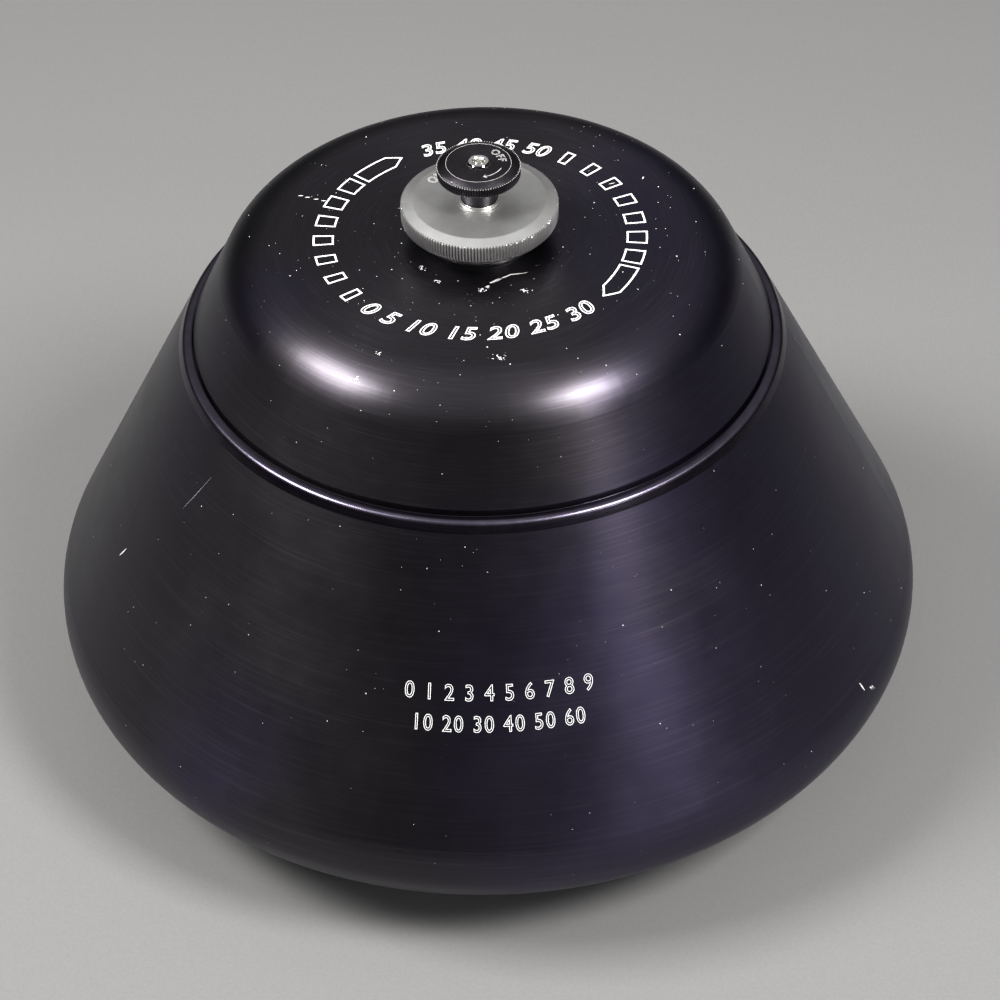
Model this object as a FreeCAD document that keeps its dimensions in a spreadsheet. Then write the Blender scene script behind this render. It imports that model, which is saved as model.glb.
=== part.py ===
"""A fixed-angle centrifuge rotor for six 250 ml bottles, with its screwed lid and its drive lock.

Millimetres, +Z up. The origin is the centre of the base, the axis of rotation is Z, and one of
the six cavities leans out along +X. Turned pieces are half sections drawn on their body's XZ
plane and turned about Z.
"""
import FreeCAD, Part
import math
import os
import Sketcher

SIZES = {
    # rotor body, outside
    "base_radius": 95.0,
    "corner_radius": 164.7,
    "corner_height": 35.1,
    "corner_round": 22.8,
    "rim_radius": 103.5,
    "rim_height": 156.85,
    "rim_round": 2.2,
    "foot_inner_radius": 70.0,
    # rotor body, seat for the lid
    "seat_radius": 100.5,
    "seat_height": 153.5,
    "mouth_radius": 97.6,
    # rotor body, tower and bores
    "tower_radius": 23.0,
    "tower_foot_radius": 28.0,
    "tower_height": 140.0,
    "tower_foot_round": 5.0,
    "axial_bore_radius": 7.5,
    "relief_outer_radius": 64.0,
    "relief_depth": 1.2,
    "boss_radius": 42.0,
    # bottle cavities
    "cavity_count": 6,
    "cavity_tilt": 28.0,
    "cavity_radius": 31.25,
    "cavity_round": 10.0,
    "cavity_bottom_radius": 121.5,
    "cavity_bottom_height": 24.3,
    "cavity_depth": 115.0,
    "cavity_overrun": 6.0,
    # drive hub
    "hub_face_height": 2.5,
    "hub_flange_radius": 34.0,
    "hub_flange_thickness": 10.0,
    "hub_radius": 22.0,
    "hub_top_height": 62.0,
    "drive_bore_radius": 16.0,
    "drive_bore_chamfer": 1.0,
    "drive_cone_height": 30.0,
    "drive_cone_top_radius": 11.0,
    "drive_ceiling_height": 48.0,
    "hub_web_bore_radius": 5.0,
    "hub_screw_count": 6,
    "hub_screw_circle_radius": 27.5,
    "hub_screw_radius": 2.5,
    "hub_screw_length": 20.0,
    "hub_screw_head_radius": 4.25,
    "hub_screw_head_height": 5.0,
    "hub_screw_socket_radius": 2.0,
    "hub_screw_socket_depth": 2.5,
    "hub_screw_clearance": 0.25,
    "drive_pin_count": 2,
    "drive_pin_radius": 2.0,
    "drive_pin_circle_radius": 8.0,
    "drive_pin_bottom_height": 42.0,
    "speed_ring_inner_radius": 44.0,
    "speed_ring_outer_radius": 62.0,
    "speed_ring_thickness": 1.0,
    # stud that the lid knob screws onto
    "stud_bottom_height": 116.0,
    "stud_root_radius": 10.0,
    "stud_shoulder_height": 135.0,
    "stud_shoulder_radius": 13.0,
    "stud_radius": 8.0,
    "stud_top_height": 166.0,
    "stud_bore_radius": 5.0,
    "stud_chamfer": 0.8,
    "guide_bush_radius": 7.0,
    "guide_bush_top_height": 130.0,
    "small_gland": 2.0,
    # lid
    "lid_top_height": 194.1,
    "lid_shoulder_radius": 83.0,
    "lid_shoulder_round": 21.9,
    "lid_edge_radius": 99.84,
    "lid_edge_height": 158.7,
    "lid_land_radius": 99.5,
    "lid_edge_bevel": 0.5,
    "lid_gap": 0.1,
    "spigot_radius": 97.1,
    "spigot_inner_radius": 91.0,
    "spigot_bottom_height": 145.8,
    "spigot_chamfer": 0.8,
    "lid_groove_radius": 94.2,
    "lid_groove_bottom_height": 148.2,
    "lid_groove_width": 3.4,
    "lid_cord_radius": 1.52,
    "lid_inner_cone_height": 158.0,
    "lid_inner_shoulder_radius": 76.0,
    "lid_inner_round": 14.0,
    "lid_plate_thickness": 8.0,
    "lid_boss_radius": 24.0,
    "lid_boss_height": 148.5,
    "lid_bush_hole_radius": 16.0,
    # bush, ring nut and gasket in the lid's centre
    "bush_bore_radius": 12.05,
    "bush_flange_radius": 17.8,
    "bush_flange_thickness": 1.3,
    "bush_bottom_height": 143.0,
    "bush_gland": 2.4,
    "ring_nut_radius": 21.5,
    "ring_nut_slots": 4,
    "ring_nut_slot_width": 4.0,
    "ring_nut_slot_depth": 2.5,
    "gasket_inner_radius": 15.0,
    "gasket_outer_radius": 21.0,
    "gasket_gap": 0.3,
    # lid knob
    "sleeve_radius": 12.0,
    "sleeve_bore_radius": 8.05,
    "sleeve_bottom_height": 140.6,
    "sleeve_top_height": 204.0,
    "clip_groove_radius": 11.2,
    "clip_groove_height": 141.3,
    "clip_groove_width": 1.3,
    "knob_clip_radius": 13.6,
    "knob_clip_thickness": 1.2,
    "thrust_washer_radius": 17.0,
    "grip_bottom_height": 196.4,
    "grip_hub_radius": 16.0,
    "grip_disc_height": 201.0,
    "grip_collar_radius": 24.8,
    "grip_knurl_height": 203.1,
    "grip_knurl_top_height": 208.2,
    "grip_radius": 26.6,
    "grip_bevel_radius": 22.5,
    "grip_top_height": 209.65,
    "grip_dish_height": 208.7,
    "grip_pocket_radius": 8.3,
    "set_screw_count": 2,
    "set_screw_radius": 1.5,
    "set_screw_height": 198.6,
    "set_screw_length": 3.7,
    "gland_ring_height": 206.8,
    "gland_ring_radius": 7.0,
    "gland_ring_edge_height": 209.7,
    "gland_ring_top_radius": 6.55,
    "gland_ring_top_height": 210.4,
    # drive lock
    "stem_radius": 6.15,
    "stem_bottom_height": 199.6,
    "stem_groove_radius": 5.3,
    "stem_clip_height": 200.6,
    "stem_clip_thickness": 1.0,
    "stem_clip_radius": 7.4,
    "running_clearance": 0.05,
    "gland_slack": 0.01,
    "cut_overrun": 1.0,
    "lock_knob_bottom_height": 219.5,
    "lock_knob_edge_height": 222.9,
    "lock_knob_top_height": 224.1,
    "lock_knob_radius": 14.0,
    "lock_knob_top_radius": 10.9,
    "lock_screw_radius": 4.0,
    "lock_screw_tip_radius": 3.2,
    "lock_screw_tip_height": 44.0,
    "lock_screw_shoulder_height": 223.0,
    "lock_screw_hex_radius": 3.7,
    "lock_screw_top_height": 224.9,
    "lock_screw_centre_radius": 1.9,
    "lock_screw_centre_depth": 4.0,
}
SHEET_NAME = "Sizes"
FAILED_STATES = ("Invalid", "Error")
SAME_PLACE = 1e-4


class Size:
    """A number together with the spreadsheet expression that gives it."""

    def __init__(self, value, text):
        self.value = value
        self.text = text

    def joined(self, other, sign, value):
        other_text = other.text if isinstance(other, Size) else repr(other)
        return Size(value, f"({self.text} {sign} {other_text})")

    def __add__(self, other):
        return self.joined(other, "+", self.value + number(other))

    def __sub__(self, other):
        return self.joined(other, "-", self.value - number(other))

    def __mul__(self, other):
        return self.joined(other, "*", self.value * number(other))


def number(size):
    """The plain number of a Size or of a number."""
    return size.value if isinstance(size, Size) else size


def trig(name, degrees):
    """The sine, cosine or tangent of an angle that the spreadsheet holds in degrees."""
    value = getattr(math, name)(math.radians(degrees.value))
    return Size(value, f"{name}({degrees.text} * 1 deg)")


def make_sheet(doc):
    """Write the driving dimensions to a spreadsheet, one aliased cell each."""
    sheet = doc.addObject("Spreadsheet::Sheet", SHEET_NAME)
    for row, (alias, value) in enumerate(SIZES.items(), start=1):
        sheet.set(f"A{row}", alias.replace("_", " "))
        sheet.set(f"B{row}", str(value))
        sheet.setAlias(f"B{row}", alias)
    doc.recompute()


class Sizes:
    """Gives each driving dimension as a Size: dim.rim_radius and so on."""

    def __getattr__(self, alias):
        return Size(SIZES[alias], f"{SHEET_NAME}.{alias}")


dim = Sizes()
doc = FreeCAD.newDocument("fixed_angle_rotor")
make_sheet(doc)


# ---- helpers for bodies, sketches and features ----

def origin_part(body, role):
    """One of the body's own origin planes or axes."""
    return next(part for part in body.Origin.OriginFeatures if part.Role == role)


def new_body(label):
    """An empty body whose Label names its file."""
    body = doc.addObject("PartDesign::Body", label)
    body.Label = label
    return body


def new_sketch(body, role, name):
    """An empty sketch on one of the body's origin planes."""
    sketch = body.newObject("Sketcher::SketchObject", f"{body.Name}_{name}")
    sketch.AttachmentSupport = [(origin_part(body, role), "")]
    sketch.MapMode = "FlatFace"
    return sketch


def pin_point(sketch, geometry, position, point):
    """Hold one end of a line at a point, each coordinate bound to the spreadsheet."""
    for kind, axis, size in (("DistanceX", -2, point[0]), ("DistanceY", -1, point[1])):
        if number(size) == 0:
            sketch.addConstraint(Sketcher.Constraint("PointOnObject", geometry, position, axis))
            continue
        held = Sketcher.Constraint(kind, -1, 1, geometry, position, number(size))
        index = sketch.addConstraint(held)
        sketch.setExpression(f"Constraints[{index}]", size.text)


def draw_outline(sketch, outline):
    """Draw a closed outline of straight lines through points of Sizes."""
    corners = [FreeCAD.Vector(number(across), number(up), 0) for across, up in outline]
    lines = [Part.LineSegment(start, end) for start, end in zip(corners, corners[1:] + corners[:1])]
    first = sketch.addGeometry(lines, False)[0]
    count = len(lines)
    joints = [
        Sketcher.Constraint("Coincident", first + index, 2, first + (index + 1) % count, 1)
        for index in range(count)
    ]
    sketch.addConstraint(joints)
    for index, point in enumerate(outline):
        pin_point(sketch, first + index, 1, point)


def draw_circle(sketch, centre, radius):
    """Draw a circle whose radius and centre are bound to the spreadsheet."""
    middle = FreeCAD.Vector(number(centre[0]), number(centre[1]), 0)
    circle = sketch.addGeometry(Part.Circle(middle, FreeCAD.Vector(0, 0, 1), number(radius)), False)
    index = sketch.addConstraint(Sketcher.Constraint("Radius", circle, number(radius)))
    sketch.setExpression(f"Constraints[{index}]", radius.text)
    pin_point(sketch, circle, 3, centre)


def raise_sketch(sketch, height):
    """Lift a sketch off its origin plane, along the plane's normal."""
    sketch.setExpression("AttachmentOffset.Base.z", height.text)


def revolve(body, sketch, kind="Revolution"):
    """Turn a section a full circle about the sketch's vertical axis, adding or cutting."""
    feature = body.newObject(f"PartDesign::{kind}", f"{body.Name}_{kind}")
    feature.Profile = sketch
    feature.ReferenceAxis = (sketch, ["V_Axis"])
    feature.Angle = 360
    return feature


def extrude(body, sketch, length, kind, reverse=False, both_ways=False):
    """Pad or pocket a sketch by a bound length."""
    feature = body.newObject(f"PartDesign::{kind}", f"{body.Name}_{kind}")
    feature.Profile = sketch
    feature.setExpression("Length", length.text)
    feature.Reversed = reverse
    if both_ways:
        feature.SideType = "Symmetric"
    return feature


def repeat(body, features, count):
    """Repeat features evenly about Z and make the pattern the body's tip."""
    pattern = body.newObject("PartDesign::PolarPattern", f"{body.Name}_Pattern")
    pattern.Originals = features
    pattern.Axis = (origin_part(body, "Z_Axis"), [""])
    pattern.Angle = 360
    pattern.setExpression("Occurrences", count.text)
    body.Tip = pattern
    doc.recompute()
    return pattern


def cut_volume(body, make_cut):
    """Make a cut and raise an error unless it removed some of the body."""
    doc.recompute()
    before = body.Shape.Volume
    feature = make_cut()
    doc.recompute()
    if not body.Shape.Volume < before:
        raise RuntimeError(f"{feature.Label} cuts nothing from {body.Label}")
    return feature


def circle_edge(feature, radius, height):
    """The name of the feature's edge that is a circle about Z of this radius and height."""
    for index, edge in enumerate(feature.Shape.Edges, start=1):
        curve = edge.Curve
        if not isinstance(curve, Part.Circle):
            continue
        fits = math.isclose(curve.Radius, radius.value, abs_tol=SAME_PLACE)
        level = math.isclose(curve.Center.z, height.value, abs_tol=SAME_PLACE)
        if fits and level:
            return f"Edge{index}"
    raise RuntimeError(f"{feature.Label} has no circle of radius {radius.value}")


def round_circle(body, radius, height, fillet_radius):
    """Round the circular edge of a turned body."""
    doc.recompute()
    base = body.Tip
    fillet = body.newObject("PartDesign::Fillet", f"{body.Name}_Fillet")
    fillet.Base = (base, [circle_edge(base, radius, height)])
    fillet.setExpression("Radius", fillet_radius.text)
    return fillet


def turned(label, outline):
    """A body turned about Z from a half section of (radius, height) points."""
    body = new_body(label)
    sketch = new_sketch(body, "XZ_Plane", "section")
    draw_outline(sketch, outline)
    revolve(body, sketch)
    return body


def ring(label, inner, outer, bottom, top):
    """A plain ring of rectangular section."""
    return turned(label, [(inner, bottom), (outer, bottom), (outer, top), (inner, top)])


def o_ring(label, path_radius, cord_radius, height):
    """A sealing ring of round section, lying flat at a height."""
    torus = doc.addObject("Part::Torus", label)
    torus.Label = label
    torus.setExpression("Radius1", path_radius.text)
    torus.setExpression("Radius2", cord_radius.text)
    torus.setExpression("Placement.Base.z", height.text)
    return torus


def corner_ring(label, wall_radius, face_height, gland):
    """A sealing ring in the triangular gland where a bore meets a flat face."""
    cord = gland * (1 - math.sqrt(0.5)) - dim.gland_slack
    reach = cord + dim.gland_slack
    return o_ring(label, wall_radius + reach, cord, face_height - reach)


# ---- the rotor, which everything else is carried by ----

def floor_height(radius):
    """Height of the dished floor, a cone that is square to the cavities at their mouths."""
    tilt = dim.cavity_tilt
    mouth_radius = dim.cavity_bottom_radius - dim.cavity_depth * trig("sin", tilt)
    mouth_height = dim.cavity_bottom_height + dim.cavity_depth * trig("cos", tilt)
    return mouth_height + (radius - mouth_radius) * trig("tan", tilt)


def rotor_outline():
    """Half section of the forging: sloped base, cone, lid seat, dished floor and tower."""
    relief_height = dim.hub_face_height + dim.relief_depth
    flange_height = dim.hub_face_height + dim.hub_flange_thickness
    return [
        (dim.hub_radius, flange_height),
        (dim.hub_flange_radius, flange_height),
        (dim.hub_flange_radius, dim.hub_face_height),
        (dim.boss_radius, dim.hub_face_height),
        (dim.boss_radius, relief_height),
        (dim.relief_outer_radius, relief_height),
        (dim.foot_inner_radius, 0),
        (dim.base_radius, 0),
        (dim.corner_radius, dim.corner_height),
        (dim.rim_radius, dim.rim_height),
        (dim.seat_radius, dim.rim_height),
        (dim.seat_radius, dim.seat_height),
        (dim.mouth_radius, dim.seat_height),
        (dim.mouth_radius, floor_height(dim.mouth_radius)),
        (dim.tower_foot_radius, floor_height(dim.tower_foot_radius)),
        (dim.tower_radius, dim.tower_height),
        (dim.stud_shoulder_radius, dim.tower_height),
        (dim.stud_shoulder_radius, dim.stud_shoulder_height),
        (dim.stud_root_radius + dim.small_gland, dim.stud_shoulder_height),
        (dim.stud_root_radius, dim.stud_shoulder_height - dim.small_gland),
        (dim.stud_root_radius, dim.stud_bottom_height),
        (dim.axial_bore_radius, dim.stud_bottom_height),
        (dim.axial_bore_radius, dim.hub_top_height),
        (dim.hub_radius, dim.hub_top_height),
    ]


def draw_cavity(sketch):
    """Half section of one cavity from its bottom centre, its axis along the sketch's Y."""
    across, corner = dim.cavity_radius, dim.cavity_round
    top = dim.cavity_depth + dim.cavity_overrun
    flat = across - corner
    arc_centre = FreeCAD.Vector(flat.value, corner.value, 0)
    arc_circle = Part.Circle(arc_centre, FreeCAD.Vector(0, 0, 1), corner.value)
    shapes = [
        Part.LineSegment(FreeCAD.Vector(0, 0, 0), FreeCAD.Vector(flat.value, 0, 0)),
        Part.ArcOfCircle(arc_circle, 1.5 * math.pi, 2 * math.pi),
        Part.LineSegment(
            FreeCAD.Vector(across.value, corner.value, 0), FreeCAD.Vector(across.value, top.value, 0)
        ),
        Part.LineSegment(
            FreeCAD.Vector(across.value, top.value, 0), FreeCAD.Vector(0, top.value, 0)
        ),
        Part.LineSegment(FreeCAD.Vector(0, top.value, 0), FreeCAD.Vector(0, 0, 0)),
    ]
    floor, arc, wall, lid, axis = sketch.addGeometry(shapes, False)
    order = [floor, arc, wall, lid, axis]
    for before, after in zip(order, order[1:] + order[:1]):
        sketch.addConstraint(Sketcher.Constraint("Coincident", before, 2, after, 1))
    pin_point(sketch, floor, 1, (0, 0))
    pin_point(sketch, arc, 1, (flat, 0))
    pin_point(sketch, wall, 1, (across, corner))
    pin_point(sketch, lid, 1, (across, top))
    pin_point(sketch, axis, 1, (0, top))
    index = sketch.addConstraint(Sketcher.Constraint("Radius", arc, corner.value))
    sketch.setExpression(f"Constraints[{index}]", corner.text)


def cut_cavities(body):
    """Six blind cavities for the bottles, leaning outwards towards the base."""
    sketch = new_sketch(body, "XZ_Plane", "cavity")
    draw_cavity(sketch)
    sketch.setExpression("AttachmentOffset.Base.x", dim.cavity_bottom_radius.text)
    sketch.setExpression("AttachmentOffset.Base.y", dim.cavity_bottom_height.text)
    sketch.AttachmentOffset.Rotation = FreeCAD.Rotation(FreeCAD.Vector(0, 0, 1), 1)
    sketch.setExpression("AttachmentOffset.Rotation.Angle", f"{dim.cavity_tilt.text} * 1 deg")
    groove = cut_volume(body, lambda: revolve(body, sketch, "Groove"))
    repeat(body, [groove], dim.cavity_count)


def cut_screw_holes(body, start_height, radius, depth, name):
    """A ring of blind holes for the hub screws, drilled upwards."""
    sketch = new_sketch(body, "XY_Plane", name)
    raise_sketch(sketch, start_height)
    draw_circle(sketch, (dim.hub_screw_circle_radius, 0), radius)
    pocket = cut_volume(body, lambda: extrude(body, sketch, depth, "Pocket", reverse=True))
    repeat(body, [pocket], dim.hub_screw_count)


def make_rotor_body():
    body = turned("rotor_body", rotor_outline())
    round_circle(body, dim.corner_radius, dim.corner_height, dim.corner_round)
    round_circle(body, dim.rim_radius, dim.rim_height, dim.rim_round)
    foot = dim.tower_foot_radius
    round_circle(body, foot, floor_height(foot), dim.tower_foot_round)
    cut_cavities(body)
    flange_height = dim.hub_face_height + dim.hub_flange_thickness
    cut_screw_holes(body, flange_height, dim.hub_screw_radius, dim.hub_screw_length, "tapped_holes")
    return body


def make_drive_hub():
    """Steel hub that sits on the drive spindle: pilot bore, cone, and a web over the cone."""
    flange_height = dim.hub_face_height + dim.hub_flange_thickness
    body = turned("drive_hub", [
        (dim.drive_bore_radius + dim.drive_bore_chamfer, dim.hub_face_height),
        (dim.hub_flange_radius, dim.hub_face_height),
        (dim.hub_flange_radius, flange_height),
        (dim.hub_radius, flange_height),
        (dim.hub_radius, dim.hub_top_height),
        (dim.hub_web_bore_radius, dim.hub_top_height),
        (dim.hub_web_bore_radius, dim.drive_ceiling_height),
        (dim.drive_cone_top_radius, dim.drive_ceiling_height),
        (dim.drive_bore_radius, dim.drive_cone_height),
        (dim.drive_bore_radius, dim.hub_face_height + dim.drive_bore_chamfer),
    ])
    head_hole = dim.hub_screw_head_radius + dim.hub_screw_clearance
    shank_hole = dim.hub_screw_radius + dim.hub_screw_clearance
    head_depth = dim.hub_screw_head_height + dim.hub_screw_clearance
    cut_screw_holes(body, dim.hub_face_height, head_hole, head_depth, "counterbores")
    cut_screw_holes(body, dim.hub_face_height, shank_hole, dim.hub_flange_thickness, "clearance_holes")
    sketch = new_sketch(body, "XY_Plane", "pin_holes")
    raise_sketch(sketch, dim.drive_ceiling_height)
    draw_circle(sketch, (dim.drive_pin_circle_radius, 0), dim.drive_pin_radius)
    web = dim.hub_top_height - dim.drive_ceiling_height
    pocket = cut_volume(body, lambda: extrude(body, sketch, web, "Pocket", reverse=True))
    repeat(body, [pocket], dim.drive_pin_count)
    return body


def make_drive_pins():
    """Two dowels that hang from the hub's web and turn with the spindle's head."""
    body = new_body("drive_pins")
    body.AllowCompound = True
    sketch = new_sketch(body, "XY_Plane", "section")
    raise_sketch(sketch, dim.drive_pin_bottom_height)
    draw_circle(sketch, (dim.drive_pin_circle_radius, 0), dim.drive_pin_radius)
    pad = extrude(body, sketch, dim.hub_top_height - dim.drive_pin_bottom_height, "Pad")
    repeat(body, [pad], dim.drive_pin_count)
    return body


def make_hub_screws():
    """Socket-head screws that hold the hub, their heads sunk in the flange."""
    body = new_body("hub_screws")
    body.AllowCompound = True
    head_bottom = dim.hub_face_height + dim.hub_screw_clearance
    centre = (dim.hub_screw_circle_radius, 0)
    head = new_sketch(body, "XY_Plane", "head")
    raise_sketch(head, head_bottom)
    draw_circle(head, centre, dim.hub_screw_head_radius)
    head_pad = extrude(body, head, dim.hub_screw_head_height, "Pad")
    shank = new_sketch(body, "XY_Plane", "shank")
    raise_sketch(shank, head_bottom)
    draw_circle(shank, centre, dim.hub_screw_radius)
    shank_pad = extrude(body, shank, dim.hub_screw_head_height + dim.hub_screw_length, "Pad")
    socket = new_sketch(body, "XY_Plane", "socket")
    raise_sketch(socket, head_bottom)
    draw_circle(socket, centre, dim.hub_screw_socket_radius)
    depth = dim.hub_screw_socket_depth
    pocket = cut_volume(body, lambda: extrude(body, socket, depth, "Pocket", reverse=True))
    repeat(body, [head_pad, shank_pad, pocket], dim.hub_screw_count)
    return body


def make_speed_ring():
    """Thin marked ring in the relief under the base, read by the machine's speed sensor."""
    top = dim.hub_face_height + dim.relief_depth
    bottom = top - dim.speed_ring_thickness
    return ring("speed_ring", dim.speed_ring_inner_radius, dim.speed_ring_outer_radius, bottom, top)


def make_lid_stud():
    """Hollow stud in the tower: root thread, shoulder, and the thread for the lid knob."""
    return turned("lid_stud", [
        (dim.guide_bush_radius, dim.stud_bottom_height),
        (dim.stud_root_radius, dim.stud_bottom_height),
        (dim.stud_root_radius, dim.stud_shoulder_height),
        (dim.stud_shoulder_radius, dim.stud_shoulder_height),
        (dim.stud_shoulder_radius, dim.tower_height),
        (dim.stud_radius, dim.tower_height),
        (dim.stud_radius, dim.stud_top_height - dim.stud_chamfer),
        (dim.stud_radius - dim.stud_chamfer, dim.stud_top_height),
        (dim.stud_bore_radius, dim.stud_top_height),
        (dim.stud_bore_radius, dim.guide_bush_top_height),
        (dim.guide_bush_radius, dim.guide_bush_top_height),
    ])


def make_guide_bush():
    """Bronze bush that keeps the locking screw central in the stud."""
    bore = dim.lock_screw_radius + dim.running_clearance
    top = dim.guide_bush_top_height
    return ring("guide_bush", bore, dim.guide_bush_radius, dim.stud_bottom_height, top)


def make_rotor_pieces():
    return [
        make_rotor_body(),
        make_drive_hub(),
        make_drive_pins(),
        make_hub_screws(),
        make_speed_ring(),
        make_lid_stud(),
        make_guide_bush(),
        corner_ring("stud_seal", dim.stud_root_radius, dim.stud_shoulder_height, dim.small_gland),
    ]


# ---- the lid ----

def make_lid_shell():
    """Domed lid with a spigot that carries the big seal into the rotor's mouth."""
    groove_top = dim.lid_groove_bottom_height + dim.lid_groove_width
    land_bottom = dim.seat_height + dim.lid_gap
    inner_top = dim.lid_top_height - dim.lid_plate_thickness
    spigot_chamfer_height = dim.spigot_bottom_height + dim.spigot_chamfer
    body = turned("lid_shell", [
        (dim.lid_bush_hole_radius + dim.bush_gland, dim.lid_top_height),
        (dim.lid_shoulder_radius, dim.lid_top_height),
        (dim.lid_edge_radius, dim.lid_edge_height),
        (dim.lid_land_radius, dim.lid_edge_height - dim.lid_edge_bevel),
        (dim.lid_land_radius, land_bottom),
        (dim.spigot_radius, land_bottom),
        (dim.spigot_radius, groove_top),
        (dim.lid_groove_radius, groove_top),
        (dim.lid_groove_radius, dim.lid_groove_bottom_height),
        (dim.spigot_radius, dim.lid_groove_bottom_height),
        (dim.spigot_radius, spigot_chamfer_height),
        (dim.spigot_radius - dim.spigot_chamfer, dim.spigot_bottom_height),
        (dim.spigot_inner_radius, dim.spigot_bottom_height),
        (dim.spigot_inner_radius, dim.lid_inner_cone_height),
        (dim.lid_inner_shoulder_radius, inner_top),
        (dim.lid_boss_radius, inner_top),
        (dim.lid_boss_radius, dim.lid_boss_height),
        (dim.lid_bush_hole_radius, dim.lid_boss_height),
        (dim.lid_bush_hole_radius, dim.lid_top_height - dim.bush_gland),
    ])
    round_circle(body, dim.lid_shoulder_radius, dim.lid_top_height, dim.lid_shoulder_round)
    round_circle(body, dim.lid_inner_shoulder_radius, inner_top, dim.lid_inner_round)
    return body


def make_lid_bush():
    """Flanged bush that the knob's sleeve turns in."""
    flange_top = dim.lid_top_height + dim.bush_flange_thickness
    return turned("lid_bush", [
        (dim.bush_bore_radius, dim.bush_bottom_height),
        (dim.lid_bush_hole_radius, dim.bush_bottom_height),
        (dim.lid_bush_hole_radius, dim.lid_top_height),
        (dim.bush_flange_radius, dim.lid_top_height),
        (dim.bush_flange_radius, flange_top),
        (dim.bush_bore_radius, flange_top),
    ])


def make_bush_nut():
    """Slotted ring nut that clamps the bush to the lid from below."""
    body = ring("bush_nut", dim.lid_bush_hole_radius, dim.ring_nut_radius,
                dim.bush_bottom_height, dim.lid_boss_height)
    sketch = new_sketch(body, "XZ_Plane", "slot")
    inner = dim.ring_nut_radius - dim.ring_nut_slot_depth
    outer = dim.ring_nut_radius + dim.cut_overrun
    bottom = dim.bush_bottom_height - dim.cut_overrun
    top = dim.lid_boss_height + dim.cut_overrun
    draw_outline(sketch, [(inner, bottom), (outer, bottom), (outer, top), (inner, top)])
    width = dim.ring_nut_slot_width
    pocket = cut_volume(body, lambda: extrude(body, sketch, width, "Pocket", both_ways=True))
    repeat(body, [pocket], dim.ring_nut_slots)
    return body


def make_lid_pieces():
    groove_middle = dim.lid_groove_bottom_height + dim.lid_groove_width * 0.5
    cord_path = dim.lid_groove_radius + dim.lid_cord_radius
    return [
        make_lid_shell(),
        o_ring("lid_seal", cord_path, dim.lid_cord_radius, groove_middle),
        make_lid_bush(),
        corner_ring("bush_seal", dim.lid_bush_hole_radius, dim.lid_top_height, dim.bush_gland),
        make_bush_nut(),
        ring("tower_gasket", dim.gasket_inner_radius, dim.gasket_outer_radius,
             dim.tower_height + dim.gasket_gap, dim.bush_bottom_height),
    ]


# ---- the lid knob, which turns in the lid and screws onto the stud ----

def make_lid_knob():
    """Grey grip: hub, collar, knurled edge, bevel and dished top, with a pocket for the stem's clip."""
    body = turned("lid_knob", [
        (dim.sleeve_radius, dim.grip_bottom_height),
        (dim.grip_hub_radius, dim.grip_bottom_height),
        (dim.grip_hub_radius, dim.grip_disc_height),
        (dim.grip_collar_radius, dim.grip_disc_height),
        (dim.grip_radius, dim.grip_knurl_height),
        (dim.grip_radius, dim.grip_knurl_top_height),
        (dim.grip_bevel_radius, dim.grip_top_height),
        (dim.gland_ring_radius, dim.grip_dish_height),
        (dim.gland_ring_radius, dim.gland_ring_height),
        (dim.grip_pocket_radius, dim.gland_ring_height),
        (dim.grip_pocket_radius, dim.sleeve_top_height),
        (dim.sleeve_radius, dim.sleeve_top_height),
    ])
    sketch = new_sketch(body, "YZ_Plane", "set_screw_holes")
    draw_circle(sketch, (0, dim.set_screw_height), dim.set_screw_radius)
    across = dim.grip_hub_radius * 2 + dim.cut_overrun
    cut_volume(body, lambda: extrude(body, sketch, across, "Pocket", both_ways=True))
    return body


def make_set_screws():
    """Two grub screws that lock the grip to its sleeve."""
    body = new_body("knob_set_screws")
    body.AllowCompound = True
    sketch = new_sketch(body, "YZ_Plane", "section")
    draw_circle(sketch, (0, dim.set_screw_height), dim.set_screw_radius)
    raise_sketch(sketch, dim.sleeve_radius + dim.running_clearance)
    pad = extrude(body, sketch, dim.set_screw_length, "Pad")
    repeat(body, [pad], dim.set_screw_count)
    return body


def make_knob_sleeve():
    """Threaded sleeve under the grip, with a groove for its retaining clip."""
    groove_top = dim.clip_groove_height + dim.clip_groove_width
    return turned("knob_sleeve", [
        (dim.sleeve_bore_radius, dim.sleeve_bottom_height),
        (dim.sleeve_radius, dim.sleeve_bottom_height),
        (dim.sleeve_radius, dim.clip_groove_height),
        (dim.clip_groove_radius, dim.clip_groove_height),
        (dim.clip_groove_radius, groove_top),
        (dim.sleeve_radius, groove_top),
        (dim.sleeve_radius, dim.sleeve_top_height),
        (dim.sleeve_bore_radius, dim.sleeve_top_height),
    ])


def make_gland_ring():
    """Bright ring pressed into the grip, through which the stem slides."""
    bore = dim.stem_radius + dim.running_clearance
    return turned("gland_ring", [
        (bore, dim.gland_ring_height),
        (dim.gland_ring_radius, dim.gland_ring_height),
        (dim.gland_ring_radius, dim.gland_ring_edge_height),
        (dim.gland_ring_top_radius, dim.gland_ring_top_height),
        (bore, dim.gland_ring_top_height),
    ])


def make_lid_knob_pieces():
    washer_bottom = dim.lid_top_height + dim.bush_flange_thickness + dim.running_clearance
    washer_bore = dim.sleeve_radius + dim.running_clearance
    clip_bottom = dim.clip_groove_height + dim.running_clearance
    return [
        make_lid_knob(),
        make_knob_sleeve(),
        make_set_screws(),
        ring("thrust_washer", washer_bore, dim.thrust_washer_radius,
             washer_bottom, dim.grip_bottom_height),
        ring("knob_clip", dim.clip_groove_radius, dim.knob_clip_radius,
             clip_bottom, clip_bottom + dim.knob_clip_thickness),
        make_gland_ring(),
    ]


# ---- the drive lock: a long screw with its own small knob ----

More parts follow.
